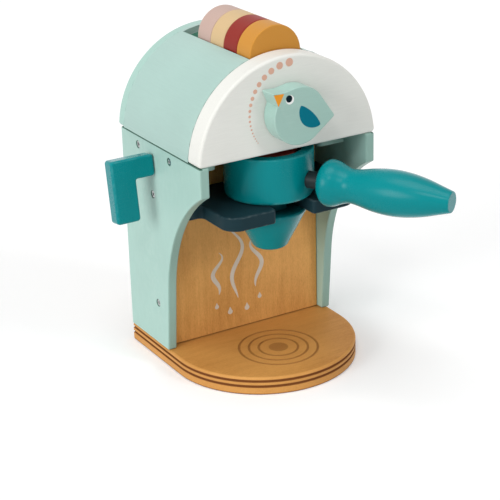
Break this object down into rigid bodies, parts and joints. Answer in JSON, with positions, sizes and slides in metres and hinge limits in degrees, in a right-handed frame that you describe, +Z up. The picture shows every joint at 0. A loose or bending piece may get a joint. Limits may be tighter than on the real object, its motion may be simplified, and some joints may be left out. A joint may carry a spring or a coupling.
{
  "type": "toy coffee maker",
  "caption": "Wooden toy espresso machine with a domed top, a slot for coffee pods, a push-in portafilter, a bird-shaped knob and a steam lever.",
  "frame": {"origin": "on the surface that the toy stands on, on its mid-plane, straight below the front face of the dome", "axes": "+Z up, +X to the machine's right as seen by someone in front of it, +Y towards its back"},
  "size_m": [0.1896, 0.2301, 0.2721],
  "materials": {
    "mint_paint": "satin mint paint",
    "white_paint": "satin white paint",
    "stained_wood": "satin stain with the grain upright",
    "base_stain": "satin stain",
    "navy_paint": "satin dark blue paint",
    "teal_paint": "semi-gloss teal paint",
    "black_paint": "satin black paint",
    "screw_steel": "zinc-plated",
    "plain_wood": "bare",
    "ochre_paint": "matt ochre paint",
    "red_paint": "matt dark red paint",
    "cream_paint": "matt cream paint",
    "pink_paint": "matt pale pink paint",
    "rust_paint": "matt rust paint"
  },
  "bodies": {
    "machine": {"base_plate": "base_stain", "side_panel_left": "mint_paint", "side_panel_right": "mint_paint", "back_panel": "stained_wood", "top_board": "mint_paint", "fork_shelf": "navy_paint", "dome_front_panel": "white_paint", "dome_back_panel": "mint_paint", "dome_shell": "mint_paint", "tray_floor": "mint_paint", "tray_wall_left": "mint_paint", "tray_wall_right": "mint_paint", "board_screw_front_left": "screw_steel", "board_screw_back_left": "screw_steel", "panel_screw_upper_left": "screw_steel", "panel_screw_lower_left": "screw_steel", "board_screw_front_right": "screw_steel", "board_screw_back_right": "screw_steel", "panel_screw_upper_right": "screw_steel", "panel_screw_lower_right": "screw_steel", "fork_screw_left": "screw_steel", "fork_screw_right": "screw_steel", "foot_screw_front_left": "screw_steel", "foot_screw_back_left": "screw_steel", "foot_screw_front_right": "screw_steel", "foot_screw_back_right": "screw_steel", "dome_pin_front_left": "plain_wood", "dome_pin_back_left": "plain_wood", "dome_pin_front_right": "plain_wood", "dome_pin_back_right": "plain_wood"},
    "knob": {"bird_knob": "mint_paint", "knob_screw": "screw_steel"},
    "lever": {"steam_lever": "teal_paint", "lever_screw": "screw_steel"},
    "portafilter": {"portafilter_cup": "teal_paint", "portafilter_spout": "teal_paint", "handle_dowel": "black_paint", "handle_grip": "teal_paint"},
    "rust_pod": {"pod_rust": "rust_paint"},
    "ochre_pod": {"pod_ochre": "ochre_paint"},
    "red_pod": {"pod_red": "red_paint"},
    "cream_pod": {"pod_cream": "cream_paint"},
    "pink_pod": {"pod_pink": "pink_paint"}
  },
  "joints": [
    {"name": "knob_turn", "type": "hinge", "parent": "machine", "child": "knob", "pos_m": [0, 0, 0.2122], "axis": [0, 1, 0], "continuous": true},
    {"name": "lever_turn", "type": "hinge", "parent": "machine", "child": "lever", "pos_m": [-0.075, 0.0777, 0.166], "axis": [1, 0, 0], "continuous": true},
    {"name": "portafilter_slide", "type": "slide", "parent": "machine", "child": "portafilter", "axis": [0, -1, 0], "range_m": [0, 0.12]},
    {"name": "rust_pod_lift", "type": "slide", "parent": "portafilter", "child": "rust_pod", "axis": [0, 0, 1], "range_m": [0, 0.005]},
    {"name": "ochre_pod_lift", "type": "slide", "parent": "machine", "child": "ochre_pod", "axis": [0, 0, 1], "range_m": [0, 0.05]},
    {"name": "red_pod_lift", "type": "slide", "parent": "machine", "child": "red_pod", "axis": [0, 0, 1], "range_m": [0, 0.05]},
    {"name": "cream_pod_lift", "type": "slide", "parent": "machine", "child": "cream_pod", "axis": [0, 0, 1], "range_m": [0, 0.05]},
    {"name": "pink_pod_lift", "type": "slide", "parent": "machine", "child": "pink_pod", "axis": [0, 0, 1], "range_m": [0, 0.05]}
  ]
}
